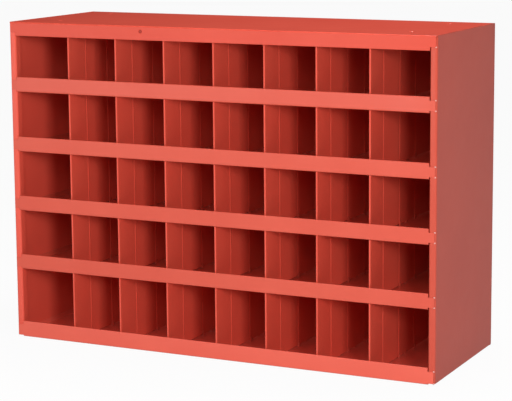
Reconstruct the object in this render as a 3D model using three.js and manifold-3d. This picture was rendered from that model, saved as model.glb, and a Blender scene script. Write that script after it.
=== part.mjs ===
// Pigeonhole sorter: a welded sheet steel case with five rows of eight open bins.
// Millimetres, +Z up, front towards -Y, origin at the middle of the underside.
import * as THREE from 'three';
import { mergeVertices } from 'three/addons/utils/BufferGeometryUtils.js';
import Module from 'manifold-3d';

const wasm = await Module();
wasm.setup();

// Overall size of the case
const WIDTH = 857.25;
const DEPTH = 304.8;
const HEIGHT = 606.4;

// Sheet, bends and fits
const SHEET = 0.9;
const BEND_RADIUS = 2;
const BEND_STEPS = 4;
const CLEARANCE = 0.3;

// Rows, from the floor of the bottom row upwards
const ROWS = 5;
const BOTTOM_ROW_RISE = 133.4;
const SHELF_PITCH = 113.7;

// Columns: the end bins are wider, because the side posts take up part of them
const COLUMNS = 8;
const END_BIN_WIDTH = 125;

// Front rails and shelf lips
const TOP_RAIL_HEIGHT = 26.1;
const BOTTOM_RAIL_HEIGHT = 30.4;
const LIP_HEIGHT = 28.4;
const LIP_HEM_RADIUS = 0.9;
const LIP_HEM_DEPTH = 9;

// Tabs at the ends of the rails and lips, lapped over the side posts
const TAB_STEP = 6.5;
const SHELF_TAB_FOOT = 4;
const RAIL_TAB_FOOT = 2.4;
const TAB_SETBACK = 2.4;

// Side panels, with a folded post in front and a flange behind
const POST_WIDTH = 13.2;
const POST_RETURN = 15;
const POST_BEND_RADIUS = 3;
const REAR_FLANGE = 13;
const SIDE_LIFT = 2.4;

// Flanges that weld the shelves to the back, and every floor and the top to the sides
const SHELF_REAR_FLANGE = 12;
const END_FLANGE = 10;

// Dividers
const DIVIDER_SHEET = 0.8;
const DIVIDER_SETBACK = 6;
const HEM_WIDTH = 3.4;
const HEM_DEPTH = 10;
const HEM_STEPS = 3;
const BEAD_COUNT = 3;
const BEAD_FIRST = 66;
const BEAD_PITCH = 77;
const BEAD_WIDTH = 4.5;
const BEAD_RISE = 0.8;
const FOOT_RELIEF = 2.5;

// Keeper tabs raised from the floors beside the dividers
const KEEPER_LENGTH = 8;
const KEEPER_RISE = 8;

// Pressed dimples in the top, where another unit stands
const DIMPLE_RADIUS = 5;
const DIMPLE_FLOOR_RADIUS = 3;
const DIMPLE_DEPTH = 1.2;
const DIMPLE_SPAN_X = 714;
const DIMPLE_FRONT_Y = -85;
const DIMPLE_REAR_Y = 104;
const DIMPLE_SEGMENTS = 20;

// Plug weld in the top rail
const WELD_X = -145;
const WELD_DROP = 10;
const WELD_RADIUS = 3.5;
const WELD_DEPTH = 0.5;

// Paint
const PAINT_RED = 0xd63f33;
const PAINT_ROUGHNESS = 0.38;
const PAINT_METALNESS = 0;

// Places worked out from the sizes above
const FRONT = -DEPTH / 2;
const REAR = DEPTH / 2;
const SIDE = WIDTH / 2;
const POST_FRONT = FRONT + SHEET + CLEARANCE;
const POST_INNER = SIDE - POST_WIDTH;
const POST_REAR = POST_FRONT + POST_RETURN;
const INNER_SIDE = SIDE - SHEET - CLEARANCE;
const BACK_FRONT = REAR - 2 * SHEET - CLEARANCE;
const SHELF_REAR = BACK_FRONT - CLEARANCE;
const DIVIDER_FRONT = FRONT + DIVIDER_SETBACK;
const DIVIDER_REAR = SHELF_REAR - SHEET - BEND_RADIUS;
const BACK_INSET = SHEET + BEND_RADIUS;
const COLUMN_PITCH = (WIDTH - 2 * END_BIN_WIDTH) / (COLUMNS - 2);
const PAST = 5;

function paint() {
  return new THREE.MeshStandardMaterial({
    color: PAINT_RED,
    roughness: PAINT_ROUGHNESS,
    metalness: PAINT_METALNESS,
  });
}

// The closed section of a bent sheet: corners are [u, v, radius] on its middle line
function sheetSection(corners, thickness, steps) {
  const run = [];
  const last = corners.length - 1;
  corners.forEach(([u, v, radius = 0], i) => {
    const here = new THREE.Vector2(u, v);
    const from = new THREE.Vector2(...corners[Math.max(i - 1, 0)].slice(0, 2));
    const to = new THREE.Vector2(...corners[Math.min(i + 1, last)].slice(0, 2));
    const into = i > 0 ? here.clone().sub(from).normalize() : to.clone().sub(here).normalize();
    const out = i < last ? to.clone().sub(here).normalize() : into.clone();
    const turn = Math.atan2(into.cross(out), into.dot(out));
    const side = new THREE.Vector2(-into.y, into.x);
    if (turn === 0) {
      run.push({ point: here, normal: side, spread: 1 });
      return;
    }
    if (radius === 0) {
      const normal = side.clone().rotateAround(new THREE.Vector2(), turn / 2);
      run.push({ point: here, normal, spread: 1 / Math.cos(turn / 2) });
      return;
    }
    const sign = Math.sign(turn);
    const start = here.clone().addScaledVector(into, -radius * Math.tan(Math.abs(turn) / 2));
    const centre = start.clone().addScaledVector(side, radius * sign);
    for (let k = 0; k <= steps; k += 1) {
      const normal = side.clone().rotateAround(new THREE.Vector2(), (turn * k) / steps);
      const point = centre.clone().addScaledVector(normal, -radius * sign);
      run.push({ point, normal, spread: 1 });
    }
  });
  const offset = (half) => ({ point, normal, spread }) =>
    point.clone().addScaledVector(normal, half * spread);
  const left = run.map(offset(thickness / 2));
  const right = run.map(offset(-thickness / 2)).reverse();
  return new THREE.Shape([...left, ...right]);
}

function extrude(shape, length) {
  return new THREE.ExtrudeGeometry(shape, { depth: length, bevelEnabled: false });
}

// A section drawn in X and Z, run along Y from front to back
function runBack(shape, from, to) {
  return extrude(shape, to - from).rotateX(Math.PI / 2).translate(0, to, 0);
}

// A section drawn in Y and Z, run along X and centred on the middle of the case
function runAcross(shape, length) {
  const axes = new THREE.Matrix4().makeBasis(
    new THREE.Vector3(0, 1, 0),
    new THREE.Vector3(0, 0, 1),
    new THREE.Vector3(1, 0, 0),
  );
  return extrude(shape, length).applyMatrix4(axes).translate(-length / 2, 0, 0);
}

function block(low, high) {
  const size = high.map((value, i) => value - low[i]);
  const middle = high.map((value, i) => (value + low[i]) / 2);
  return new THREE.BoxGeometry(...size).translate(...middle);
}

function solid(geometry) {
  const bare = geometry.clone();
  bare.deleteAttribute('normal');
  bare.deleteAttribute('uv');
  const merged = mergeVertices(bare);
  return new wasm.Manifold(new wasm.Mesh({
    numProp: 3,
    vertProperties: new Float32Array(merged.attributes.position.array),
    triVerts: new Uint32Array(merged.index.array),
  }));
}

function geometryOf(body) {
  const { numProp, vertProperties, triVerts } = body.getMesh();
  const geometry = new THREE.BufferGeometry();
  geometry.setAttribute('position', new THREE.BufferAttribute(vertProperties, numProp));
  geometry.setIndex(new THREE.BufferAttribute(triVerts, 1));
  geometry.computeVertexNormals();
  return geometry;
}

function cut(body, low, high) {
  return body.subtract(solid(block(low, high)));
}

// The same cut at both ends of a piece that runs across the case, from x outwards
function cutBothEnds(body, x, [yLow, yHigh], [zLow, zHigh]) {
  const right = cut(body, [x, yLow, zLow], [SIDE + PAST, yHigh, zHigh]);
  return cut(right, [-SIDE - PAST, yLow, zLow], [-x, yHigh, zHigh]);
}

function dividerX(column) {
  return (column - (COLUMNS - 2) / 2) * COLUMN_PITCH;
}

function beadY(bead) {
  return FRONT + BEAD_FIRST + bead * BEAD_PITCH;
}

// The underside of each floor, row 1 at the top
function floorZ(row) {
  if (row === ROWS) {
    return 0;
  }
  return BOTTOM_ROW_RISE + (ROWS - 1 - row) * SHELF_PITCH;
}

// A floor or top with its hemmed front edge turned up or down, and a rear flange
// level is the outer face of the web and way is the side to which the edges turn
function tray({ level, way, lip, tabFoot, postTop, rearY, rearFlange, rearEnd }) {
  const web = level + (way * SHEET) / 2;
  const lipY = FRONT + SHEET / 2;
  const hemY = lipY + 2 * LIP_HEM_RADIUS;
  const edge = level + way * (lip - SHEET / 2);
  const section = sheetSection([
    [hemY, edge - way * LIP_HEM_DEPTH],
    [hemY, edge, LIP_HEM_RADIUS],
    [lipY, edge, LIP_HEM_RADIUS],
    [lipY, web, BEND_RADIUS],
    [rearY - SHEET / 2, web, BEND_RADIUS],
    [rearY - SHEET / 2, level + way * rearFlange],
  ], SHEET, BEND_STEPS);
  const whole = solid(runAcross(section, 2 * INNER_SIDE));
  const notched = notchLip(whole, { level, way, lip, tabFoot, postTop });
  const body = addEndFlanges(notched, { level, way, rearY });
  const behind = [rearY - SHEET - BEND_RADIUS, rearY + PAST];
  const flange = heights(level, way, SHEET + CLEARANCE / 2, rearFlange + PAST);
  return rearEnd < INNER_SIDE ? cutBothEnds(body, rearEnd, behind, flange) : body;
}

// Low and high Z between two distances from the outer face of a web
function heights(level, way, near, far) {
  return [level + way * near, level + way * far].sort((a, b) => a - b);
}

// Steps the ends of a lip down to its tabs, and clears the rest of the tray from the side posts
// tabFoot is where a tab begins and postTop is where the post stops, both measured from level
function notchLip(tray, { level, way, lip, tabFoot, postTop }) {
  const lipEnd = POST_INNER - CLEARANCE;
  const behindLip = FRONT + SHEET + CLEARANCE / 2;
  const ahead = [FRONT - PAST, behindLip];
  const beside = [behindLip, POST_REAR + CLEARANCE];
  const whole = heights(level, way, -PAST, lip + PAST);
  let body = cutBothEnds(tray, lipEnd, ahead, heights(level, way, lip - TAB_STEP, lip + PAST));
  body = cutBothEnds(body, lipEnd, ahead, heights(level, way, -PAST, tabFoot));
  body = cutBothEnds(body, SIDE - TAB_SETBACK, ahead, whole);
  return cutBothEnds(body, lipEnd, beside, heights(level, way, postTop, lip + PAST));
}

// Turns the ends of a web up or down against the side panels, behind the posts
function addEndFlanges(tray, { level, way, rearY }) {
  const web = level + (way * SHEET) / 2;
  const flangeX = INNER_SIDE - SHEET / 2;
  const seam = INNER_SIDE - SHEET - BEND_RADIUS;
  const from = POST_REAR + CLEARANCE;
  const to = rearY - SHEET - BEND_RADIUS;
  const bend = sheetSection([
    [seam - BEND_RADIUS, web],
    [flangeX, web, BEND_RADIUS],
    [flangeX, level + way * END_FLANGE],
  ], SHEET, BEND_STEPS);
  const right = solid(runBack(bend, from, to));
  const trimmed = cutBothEnds(tray, seam, [from, to], heights(level, way, -PAST, PAST));
  return trimmed.add(right).add(right.mirror([1, 0, 0]));
}

// Small upright tabs on a floor: on the right against the foot of each divider's rear beads,
// and on the left, between those beads, against its flat
function addKeepers(body, floorTop) {
  const rightX = HEM_WIDTH / 2 + BEAD_RISE + CLEARANCE;
  const leftX = HEM_WIDTH / 2 - DIVIDER_SHEET - CLEARANCE - SHEET;
  let kept = body;
  const keeper = (x, y) => {
    const low = [x, y - KEEPER_LENGTH / 2, floorTop - SHEET / 2];
    const high = [x + SHEET, y + KEEPER_LENGTH / 2, floorTop + KEEPER_RISE];
    kept = kept.add(solid(block(low, high)));
  };
  for (let column = 0; column < COLUMNS - 1; column += 1) {
    for (let bead = 1; bead < BEAD_COUNT; bead += 1) {
      keeper(dividerX(column) + rightX, beadY(bead));
    }
    for (let bead = 1; bead < BEAD_COUNT - 1; bead += 1) {
      keeper(dividerX(column) + leftX, beadY(bead) + BEAD_PITCH / 2);
    }
  }
  return kept;
}

function addDimples(body) {
  let pressed = body;
  const frustum = (grow) => new THREE.CylinderGeometry(
    DIMPLE_RADIUS + grow, DIMPLE_FLOOR_RADIUS + grow, DIMPLE_DEPTH, DIMPLE_SEGMENTS,
  ).rotateX(Math.PI / 2);
  for (const x of [-DIMPLE_SPAN_X / 2, DIMPLE_SPAN_X / 2]) {
    for (const y of [DIMPLE_FRONT_Y, DIMPLE_REAR_Y]) {
      const boss = frustum(SHEET).translate(x, y, HEIGHT - SHEET - DIMPLE_DEPTH / 2);
      const dish = frustum(0).translate(x, y, HEIGHT - DIMPLE_DEPTH / 2);
      pressed = pressed.add(solid(boss)).subtract(solid(dish));
    }
  }
  return pressed;
}

// A shallow dish ground into the rail where it is plug welded
function addWeldMark(body) {
  const dish = new THREE.CylinderGeometry(
    WELD_RADIUS, WELD_RADIUS, 2 * WELD_DEPTH, DIMPLE_SEGMENTS,
  ).translate(WELD_X, FRONT, HEIGHT - WELD_DROP);
  return body.subtract(solid(dish));
}

function topPanel() {
  return addWeldMark(addDimples(tray({
    level: HEIGHT,
    way: -1,
    lip: TOP_RAIL_HEIGHT,
    tabFoot: -CLEARANCE,
    postTop: SHEET + BEND_RADIUS,
    rearY: REAR,
    rearFlange: REAR_FLANGE,
    rearEnd: SIDE - REAR_FLANGE - CLEARANCE,
  })));
}

function bottomPanel() {
  const body = tray({
    level: 0,
    way: 1,
    lip: BOTTOM_RAIL_HEIGHT,
    tabFoot: RAIL_TAB_FOOT,
    postTop: -PAST,
    rearY: REAR,
    rearFlange: REAR_FLANGE,
    rearEnd: SIDE - REAR_FLANGE - CLEARANCE,
  });
  return addKeepers(body, SHEET);
}

function shelf(row) {
  const body = tray({
    level: floorZ(row),
    way: 1,
    lip: LIP_HEIGHT,
    tabFoot: SHELF_TAB_FOOT,
    postTop: -PAST,
    rearY: SHELF_REAR,
    rearFlange: SHELF_REAR_FLANGE,
    rearEnd: INNER_SIDE,
  });
  return addKeepers(body, floorZ(row) + SHEET);
}

// The right side: web, folded front post and rear flange, cut short where the top covers them
function sidePanel() {
  const postX = POST_INNER + SHEET / 2;
  const webX = SIDE - SHEET / 2;
  const postY = POST_FRONT + SHEET / 2;
  const section = sheetSection([
    [postX, POST_REAR],
    [postX, postY, POST_BEND_RADIUS],
    [webX, postY, POST_BEND_RADIUS],
    [webX, REAR - SHEET / 2, BEND_RADIUS],
    [SIDE - REAR_FLANGE, REAR - SHEET / 2],
  ], SHEET, BEND_STEPS);
  const panel = extrude(section, HEIGHT - SIDE_LIFT).translate(0, 0, SIDE_LIFT);
  const inside = SIDE - SHEET - CLEARANCE / 2;
  const low = [POST_INNER - PAST, FRONT - PAST, HEIGHT - SHEET - BEND_RADIUS - CLEARANCE];
  const high = [inside, REAR + PAST, HEIGHT + PAST];
  return cut(solid(panel), low, high);
}

function backPanel() {
  const low = [BACK_INSET - SIDE, BACK_FRONT, BACK_INSET];
  const high = [SIDE - BACK_INSET, BACK_FRONT + SHEET, HEIGHT - BACK_INSET];
  return block(low, high);
}

// A divider: a rolled front hem, then a flat sheet stiffened by upright beads,
// which stands on its front part and is relieved at the foot behind the first bead
function divider(row) {
  const faceX = HEM_WIDTH / 2 - DIVIDER_SHEET / 2;
  const hemRadius = faceX;
  const frontY = DIVIDER_FRONT + DIVIDER_SHEET / 2;
  const corners = [
    [-faceX, frontY + HEM_DEPTH],
    [-faceX, frontY, hemRadius],
    [faceX, frontY, hemRadius],
  ];
  for (let bead = 0; bead < BEAD_COUNT; bead += 1) {
    corners.push([faceX, beadY(bead) - BEAD_WIDTH / 2]);
    corners.push([faceX + BEAD_RISE, beadY(bead)]);
    corners.push([faceX, beadY(bead) + BEAD_WIDTH / 2]);
  }
  corners.push([faceX, DIVIDER_REAR]);
  const foot = floorZ(row) + SHEET + CLEARANCE;
  const ceiling = row === 1 ? HEIGHT - SHEET : floorZ(row - 1);
  const section = sheetSection(corners, DIVIDER_SHEET, HEM_STEPS);
  const sheet = extrude(section, ceiling - CLEARANCE - foot).translate(0, 0, foot);
  const low = [-HEM_WIDTH, beadY(0), foot - PAST];
  const high = [HEM_WIDTH + BEAD_RISE, REAR, foot + FOOT_RELIEF];
  return geometryOf(cut(solid(sheet), low, high));
}

const sorter = new THREE.Group();

function place(name, geometry) {
  const mesh = new THREE.Mesh(geometry, paint());
  mesh.name = name;
  sorter.add(mesh);
  return mesh;
}

const rightSide = sidePanel();
place('right_side_panel', geometryOf(rightSide));
place('left_side_panel', geometryOf(rightSide.mirror([1, 0, 0])));
place('top_panel', geometryOf(topPanel()));
place('bottom_panel', geometryOf(bottomPanel()));
place('back_panel', backPanel());

for (let row = 1; row < ROWS; row += 1) {
  place(`shelf_${row}`, geometryOf(shelf(row)));
}

for (let row = 1; row <= ROWS; row += 1) {
  const sheet = divider(row);
  for (let column = 0; column < COLUMNS - 1; column += 1) {
    place(`row_${row}_divider_${column + 1}`, sheet).position.x = dividerX(column);
  }
}

export default sorter;
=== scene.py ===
import math
import bpy
from mathutils import Matrix, Vector


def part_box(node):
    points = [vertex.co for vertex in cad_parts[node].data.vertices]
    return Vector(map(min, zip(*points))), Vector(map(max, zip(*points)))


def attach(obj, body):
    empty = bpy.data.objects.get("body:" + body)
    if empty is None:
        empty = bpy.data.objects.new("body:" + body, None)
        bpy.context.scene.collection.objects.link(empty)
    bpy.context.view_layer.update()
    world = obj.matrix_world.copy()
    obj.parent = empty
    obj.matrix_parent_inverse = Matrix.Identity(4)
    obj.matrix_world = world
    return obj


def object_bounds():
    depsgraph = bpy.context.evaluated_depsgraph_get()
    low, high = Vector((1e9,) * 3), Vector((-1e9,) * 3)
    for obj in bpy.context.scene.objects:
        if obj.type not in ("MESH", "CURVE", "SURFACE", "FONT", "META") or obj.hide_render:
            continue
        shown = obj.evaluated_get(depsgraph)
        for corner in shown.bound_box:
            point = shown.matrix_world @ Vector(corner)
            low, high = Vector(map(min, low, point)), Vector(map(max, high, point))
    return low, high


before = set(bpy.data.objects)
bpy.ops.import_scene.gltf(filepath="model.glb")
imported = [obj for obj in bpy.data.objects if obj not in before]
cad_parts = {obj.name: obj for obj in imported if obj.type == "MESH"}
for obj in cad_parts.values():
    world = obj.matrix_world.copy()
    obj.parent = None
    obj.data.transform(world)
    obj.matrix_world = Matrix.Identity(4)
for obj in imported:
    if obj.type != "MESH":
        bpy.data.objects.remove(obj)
cad_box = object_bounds()


# Side panels: cold rolled steel sheet, folded on a press brake into a post in front and a
# flange behind, then spot welded to the rest of the case and sprayed with red baked enamel.
# The enamel is smooth and semi-gloss, with a fine orange peel over a slight wave in the sheet.
def linear(code):
    values = [int(code[i:i + 2], 16) / 255 for i in (1, 3, 5)]
    bent = [v / 12.92 if v <= 0.04045 else ((v + 0.055) / 1.055) ** 2.4 for v in values]
    return (*bent, 1.0)


def add_node(tree, kind, settings=None, links=None):
    made = tree.nodes.new(kind)
    for name, value in (settings or {}).items():
        if name in made.inputs:
            made.inputs[name].default_value = value
        else:
            setattr(made, name, value)
    for name, output in (links or {}).items():
        tree.links.new(output, made.inputs[name])
    return made


def per_metre(millimetres):
    return 1000.0 / millimetres


def baked_enamel(name, deep, bright, seed, wave=0.35, shine=0.35):
    paint = bpy.data.materials.new(name)
    paint.use_nodes = True
    tree = paint.node_tree
    tree.nodes.clear()
    place = add_node(tree, "ShaderNodeTexCoord").outputs["Object"]
    shifted = add_node(
        tree, "ShaderNodeMapping", {"Location": (seed, -seed, seed / 2)}, {"Vector": place},
    ).outputs["Vector"]
    # slow drift of the sprayed film's tone, over about a hand's breadth
    film = add_node(
        tree, "ShaderNodeTexNoise", {"Scale": per_metre(110), "Detail": 3.0}, {"Vector": shifted},
    )
    tone = add_node(tree, "ShaderNodeMix", {"data_type": "RGBA"})
    tone.inputs[6].default_value = linear(deep)
    tone.inputs[7].default_value = linear(bright)
    tree.links.new(film.outputs["Fac"], tone.inputs[0])
    # smudges of gloss, a thumb's width across
    smudge = add_node(
        tree, "ShaderNodeTexNoise", {"Scale": per_metre(28), "Detail": 4.0}, {"Vector": shifted},
    )
    gloss = add_node(
        tree, "ShaderNodeMapRange",
        {"To Min": 0.25, "To Max": 0.35},
        {"Value": smudge.outputs["Fac"]},
    )
    # orange peel is about 2 mm across and is drawn at 4 mm so that it shows
    peel = add_node(
        tree, "ShaderNodeTexNoise", {"Scale": per_metre(4), "Detail": 1.0}, {"Vector": shifted},
    )
    # the wave left in the sheet by folding and welding, about two hands across
    ripple = add_node(
        tree, "ShaderNodeTexNoise", {"Scale": per_metre(180), "Detail": 1.0}, {"Vector": shifted},
    )
    # the film rounds sheared edges and folds, by a little under a millimetre
    softened = add_node(tree, "ShaderNodeBevel", {"Radius": 0.0008, "samples": 4})
    waved = add_node(
        tree, "ShaderNodeBump", {"Strength": wave, "Distance": 0.002},
        {"Height": ripple.outputs["Fac"], "Normal": softened.outputs["Normal"]},
    )
    peeled = add_node(
        tree, "ShaderNodeBump", {"Strength": 0.06, "Distance": 0.0004},
        {"Height": peel.outputs["Fac"], "Normal": waved.outputs["Normal"]},
    )
    shader = add_node(
        tree, "ShaderNodeBsdfPrincipled",
        {"IOR": 1.5, "Coat Weight": shine, "Coat Roughness": 0.12},
        {
            "Base Color": tone.outputs[2],
            "Roughness": gloss.outputs["Result"],
            "Normal": peeled.outputs["Normal"],
        },
    )
    add_node(
        tree, "ShaderNodeOutputMaterial", None, {"Surface": shader.outputs["BSDF"]},
    )
    return paint


def coat(node_name, paint):
    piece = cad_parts[node_name]
    piece.data.materials.clear()
    piece.data.materials.append(paint)


# The right side panel gets a deeper red than the other sheets: painted shade, for the light that
# falls less on that side.
coat("right_side_panel", baked_enamel("right_side_red_enamel_painted_shade", "#cd4d3a", "#d75743", 0.3))
# The left side panel gets a lighter red: painted light, which lifts its shaded inner face in the
# first column of bins.
coat("left_side_panel", baked_enamel("left_side_red_enamel_painted_light", "#ec5845", "#f2614e", 0.8))


# Top and bottom: one sheet each, with the front edge turned to a hemmed rail and the rear
# edge to a flange. The top has four pressed dimples that seat a second unit, and its enamel
# looks flatter than the rest, so it gets none of their clear shine.
coat("top_panel", baked_enamel("top_red_enamel", "#da4e3c", "#e45845", 1.7, shine=0.0))
# The bottom gets a lighter red than the top: painted light, which lifts the bottom rail and the
# floors of the lowest bins.
coat("bottom_panel", baked_enamel("bottom_red_enamel_painted_light", "#ec6250", "#f36c58", 2.2))


# Back: one flat steel sheet, spot welded inside the rear flanges and sprayed with the case.
# It is the largest sheet and has no folded edge, so it waves the most.
# Its red is lighter than the shelves': painted light, which lifts the shaded backs of the bins.
coat("back_panel", baked_enamel("back_red_enamel_painted_light", "#ea5b48", "#f26551", 2.9, wave=0.6))


# Shelves: trays of the same sheet, with a hemmed lip turned up in front. The ends of each
# lip lap over the side posts as tabs, and keeper tabs stand up from the floor.
shelf_enamel = baked_enamel("shelf_red_enamel", "#d95441", "#e3604c", 4.1)
for node_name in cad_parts:
    if node_name.startswith("shelf_"):
        coat(node_name, shelf_enamel)


# Dividers: thinner sheet with a rolled front hem and three upright beads pressed in for
# stiffness, held by the keeper tabs and sprayed with the case. Each row drifts in tone by itself.
# The dividers get a lighter red than the shelves: painted light, which lifts the shaded insides of
# the bins.
for row in range(1, 6):
    row_enamel_painted_light = baked_enamel(f"divider_painted_light_row_{row}_red_enamel", "#e95643", "#f0604c", 5.3 + row)
    for node_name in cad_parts:
        if node_name.startswith(f"row_{row}_divider_"):
            coat(node_name, row_enamel_painted_light)


# Plug weld: weld metal run into a hole in the top rail, ground down and painted with the case.
# It shows as a darker dot about 6 mm across, a low dome seated in its shallow dish.
def weld_dome(name, radius, flatness, place, seat_y):
    bpy.ops.object.select_all(action="DESELECT")
    bpy.ops.mesh.primitive_uv_sphere_add(
        segments=24, ring_count=12, radius=radius, location=place,
    )
    dome = bpy.context.object
    dome.name = name
    dome.scale = flatness
    bpy.ops.object.transform_apply(location=True, rotation=True, scale=True)
    # the buried half is cut away, and the cut closed, where the weld meets the sheet
    bpy.ops.object.mode_set(mode="EDIT")
    bpy.ops.mesh.select_all(action="SELECT")
    bpy.ops.mesh.bisect(
        plane_co=(0.0, seat_y, 0.0), plane_no=(0.0, 1.0, 0.0),
        use_fill=True, clear_outer=True, threshold=0.000001,
    )
    bpy.ops.object.mode_set(mode="OBJECT")
    bpy.ops.object.shade_smooth_by_angle(angle=math.radians(50))
    return dome


case_low = Vector(cad_box[0])
case_high = Vector(cad_box[1])
plug_x = -0.145
plug_drop = 0.010
plug_radius = 0.0031
plug_depth = 0.00045
plug_flatness = (1.0, 0.12, 1.0)
plug_seat = 0.00005
plug_place = Vector((plug_x, case_low.y + plug_depth, case_high.z - plug_drop))
plug_weld = weld_dome(
    "top_rail_plug_weld", plug_radius, plug_flatness, plug_place, plug_place.y + plug_seat,
)
plug_weld.data.materials.append(baked_enamel("plug_weld_red_enamel", "#a93327", "#b83c2e", 9.7))
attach(plug_weld, "root")


# Tab welds: small beads of weld at the free corners of the tabs that lap the right post.
# Their pale, near-white colour is a painted highlight, standing in for the glints of light on these
# corners.
tab_setback = 0.0024
tab_step = 0.0065
shelf_tab_foot = 0.004
rail_tab_foot = 0.0024
bead_radius = 0.0018
bead_flatness = (1.0, 0.6, 0.7)
bead_seat = 0.0002
tab_end = case_high.x - tab_setback
post_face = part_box("right_side_panel")[0][1]
top_rail_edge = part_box("top_panel")[0][2]
bottom_rail_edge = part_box("bottom_panel")[1][2]
tab_edges = [top_rail_edge + tab_step, bottom_rail_edge - tab_step, rail_tab_foot]
for number in (4, 3, 2, 1):
    shelf_low, shelf_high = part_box(f"shelf_{number}")
    tab_edges += [shelf_low[2] + shelf_tab_foot, shelf_high[2] - tab_step]
first_bead = weld_dome(
    "tab_weld_glint_beads", bead_radius, bead_flatness,
    (tab_end, post_face, tab_edges[0]), post_face + bead_seat,
)
beads = [first_bead]
for edge_z in tab_edges[1:]:
    bpy.ops.object.select_all(action="DESELECT")
    first_bead.select_set(True)
    bpy.context.view_layer.objects.active = first_bead
    bpy.ops.object.duplicate()
    bpy.ops.transform.translate(value=(0.0, 0.0, edge_z - tab_edges[0]))
    bpy.ops.object.transform_apply(location=True, rotation=True, scale=True)
    beads.append(bpy.context.object)
bpy.ops.object.select_all(action="DESELECT")
for bead in beads:
    bead.select_set(True)
bpy.context.view_layer.objects.active = first_bead
bpy.ops.object.join()
tab_welds = bpy.context.object
# painted highlight: weld metal coloured pale pink and near white, mottled over about 2 mm, for the
# glints on the tab corners
bead_painted_highlight = bpy.data.materials.new("weld_metal_painted_highlight")
bead_painted_highlight.use_nodes = True
bead_tree = bead_painted_highlight.node_tree
bead_tree.nodes.clear()
bead_place = add_node(bead_tree, "ShaderNodeTexCoord").outputs["Object"]
bead_highlight_mottle = add_node(
    bead_tree, "ShaderNodeTexNoise", {"Scale": per_metre(2), "Detail": 2.0}, {"Vector": bead_place},
)
bead_tone = add_node(bead_tree, "ShaderNodeMix", {"data_type": "RGBA"})
bead_tone.inputs[6].default_value = linear("#f0a89c")
bead_tone.inputs[7].default_value = linear("#fbeeee")
bead_tree.links.new(bead_highlight_mottle.outputs["Fac"], bead_tone.inputs[0])
bead_shader = add_node(
    bead_tree, "ShaderNodeBsdfPrincipled", {"Metallic": 0.3, "Roughness": 0.3, "IOR": 1.5},
    {"Base Color": bead_tone.outputs[2]},
)
add_node(bead_tree, "ShaderNodeOutputMaterial", None, {"Surface": bead_shader.outputs["BSDF"]})
tab_welds.data.materials.append(bead_painted_highlight)
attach(tab_welds, "root")


# Stage: a plain pale studio floor, which keeps the shadow and shows near white to the camera.
# Most of its light to the camera is its own, and the rest is shaded by the unit.
# In reflections it is a dull grey, because the enamel shows no white ground.
floor_own_share = 0.95
bpy.ops.object.select_all(action="DESELECT")
bpy.ops.mesh.primitive_plane_add(size=40.0, location=(0.0, 0.0, -0.0005))
floor = bpy.context.object
floor.name = "studio_floor"
floor_paint = bpy.data.materials.new("studio_white")
floor_paint.use_nodes = True
floor_tree = floor_paint.node_tree
floor_tree.nodes.clear()
floor_path = add_node(floor_tree, "ShaderNodeLightPath")
floor_share = add_node(floor_tree, "ShaderNodeMath", {"operation": "MULTIPLY"})
floor_tree.links.new(floor_path.outputs["Is Camera Ray"], floor_share.inputs[0])
floor_share.inputs[1].default_value = floor_own_share
floor_diffuse = add_node(
    floor_tree, "ShaderNodeBsdfDiffuse", {"Color": linear("#dededc")},
)
floor_glow = add_node(
    floor_tree, "ShaderNodeEmission", {"Color": (1.0, 1.0, 1.0, 1.0), "Strength": 1.0},
)
floor_shade = add_node(
    floor_tree, "ShaderNodeEmission", {"Color": (1.0, 1.0, 1.0, 1.0), "Strength": 0.27},
)
floor_mirrored = add_node(floor_tree, "ShaderNodeMixShader")
floor_tree.links.new(floor_path.outputs["Is Glossy Ray"], floor_mirrored.inputs[0])
floor_tree.links.new(floor_diffuse.outputs[0], floor_mirrored.inputs[1])
floor_tree.links.new(floor_shade.outputs[0], floor_mirrored.inputs[2])
floor_mix = add_node(floor_tree, "ShaderNodeMixShader")
floor_tree.links.new(floor_share.outputs[0], floor_mix.inputs[0])
floor_tree.links.new(floor_mirrored.outputs[0], floor_mix.inputs[1])
floor_tree.links.new(floor_glow.outputs[0], floor_mix.inputs[2])
add_node(floor_tree, "ShaderNodeOutputMaterial", None, {"Surface": floor_mix.outputs[0]})
floor.data.materials.append(floor_paint)


# Room: even white to the camera. For the rest it gives a weak fill of light from all round, and
# it is almost black in reflections, so that the paint keeps its colour.
world = bpy.data.worlds.new("studio_world")
bpy.context.scene.world = world
world.use_nodes = True
sky_tree = world.node_tree
sky_tree.nodes.clear()
sky_path = add_node(sky_tree, "ShaderNodeLightPath")
sky_light = add_node(
    sky_tree, "ShaderNodeBackground", {"Color": linear("#f2f4f8"), "Strength": 0.12},
)
sky_gloss = add_node(
    sky_tree, "ShaderNodeBackground", {"Color": linear("#f2f4f8"), "Strength": 0.02},
)
sky_white = add_node(
    sky_tree, "ShaderNodeBackground", {"Color": (1.0, 1.0, 1.0, 1.0), "Strength": 1.0},
)
sky_mirrored = add_node(sky_tree, "ShaderNodeMixShader")
sky_tree.links.new(sky_path.outputs["Is Glossy Ray"], sky_mirrored.inputs[0])
sky_tree.links.new(sky_light.outputs[0], sky_mirrored.inputs[1])
sky_tree.links.new(sky_gloss.outputs[0], sky_mirrored.inputs[2])
sky_mix = add_node(sky_tree, "ShaderNodeMixShader")
sky_tree.links.new(sky_path.outputs["Is Camera Ray"], sky_mix.inputs[0])
sky_tree.links.new(sky_mirrored.outputs[0], sky_mix.inputs[1])
sky_tree.links.new(sky_white.outputs[0], sky_mix.inputs[2])
add_node(sky_tree, "ShaderNodeOutputWorld", None, {"Surface": sky_mix.outputs[0]})


# Lamps: seven softboxes. The key stands forty degrees to the right and lights half the depth of
# each bin, and the others even out the front, the floors of the bins and the top.
# The front, key and fill lamps are kept out of reflections, where they could clip to white.
case_middle = (case_low + case_high) / 2
top_aim = Vector((0.4, 0.0, 0.6))


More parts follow.
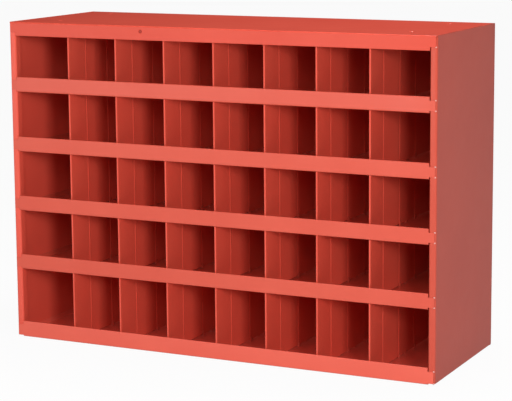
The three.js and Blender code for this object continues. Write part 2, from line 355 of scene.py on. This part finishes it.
def softbox(name, place, size, watts, aim=case_middle, mirrored=True):
    bpy.ops.object.light_add(type="AREA", location=place)
    lamp = bpy.context.object
    lamp.name = name
    lamp.data.shape = "RECTANGLE"
    lamp.data.size = size[0]
    lamp.data.size_y = size[1]
    lamp.data.energy = watts
    lamp.rotation_euler = (aim - Vector(place)).to_track_quat("-Z", "Y").to_euler()
    lamp.visible_glossy = mirrored


softbox("front_softbox", place=(-0.5, -3.1, 1.3), size=(1.4, 1.0), watts=20.0, mirrored=False)
softbox("left_softbox", place=(-1.8, -2.8, 0.4), size=(2.0, 2.0), watts=10.0)
softbox("strip_softbox", place=(-0.66, -2.8, 0.25), size=(0.12, 0.5), watts=0.5)
softbox("key_softbox", place=(2.12, -2.53, 0.95), size=(0.6, 0.6), watts=45.0, mirrored=False)
softbox("fill_softbox", place=(1.2, -3.0, 1.5), size=(0.9, 0.9), watts=18.0, mirrored=False)
softbox("hood_softbox", place=(-0.2, -1.7, 2.3), size=(1.6, 1.0), watts=5.0)
softbox("top_softbox", place=(0.4, 0.2, 2.3), size=(1.0, 1.0), watts=35.0, aim=top_aim)


# Camera: a long lens in front of the unit and to its right, a little above its top.
# The pixel values are those of the photograph's frame, and the lens centre lies a little off the
# frame's middle, as with a lens shifted to keep upright edges upright.
camera_place = Vector((1.4591, -2.9357, 0.8514))
azimuth = math.radians(25.052)
elevation = math.radians(8.888)
roll = math.radians(-0.263)
focal_pixels = 1764.2
frame_width = 512.0
frame_height = 401.0
lens_centre = (292.0, 164.5)
sensor_width = 36.0
ahead = Vector((
    -math.sin(azimuth) * math.cos(elevation),
    math.cos(azimuth) * math.cos(elevation),
    -math.sin(elevation),
))
level_right = Vector((math.cos(azimuth), math.sin(azimuth), 0.0))
level_up = level_right.cross(ahead)
right = level_right * math.cos(roll) + level_up * math.sin(roll)
up = level_up * math.cos(roll) - level_right * math.sin(roll)
bpy.ops.object.camera_add(location=camera_place)
camera = bpy.context.object
turn = Matrix((right, up, -ahead)).transposed()
camera.rotation_euler = turn.to_euler()
camera.data.sensor_fit = "HORIZONTAL"
camera.data.sensor_width = sensor_width
camera.data.lens = focal_pixels * sensor_width / frame_width
camera.data.shift_x = (frame_width / 2 - lens_centre[0]) / frame_width
camera.data.shift_y = (lens_centre[1] - frame_height / 2) / frame_width
bpy.context.scene.camera = camera
bpy.context.scene.view_settings.view_transform = "Standard"
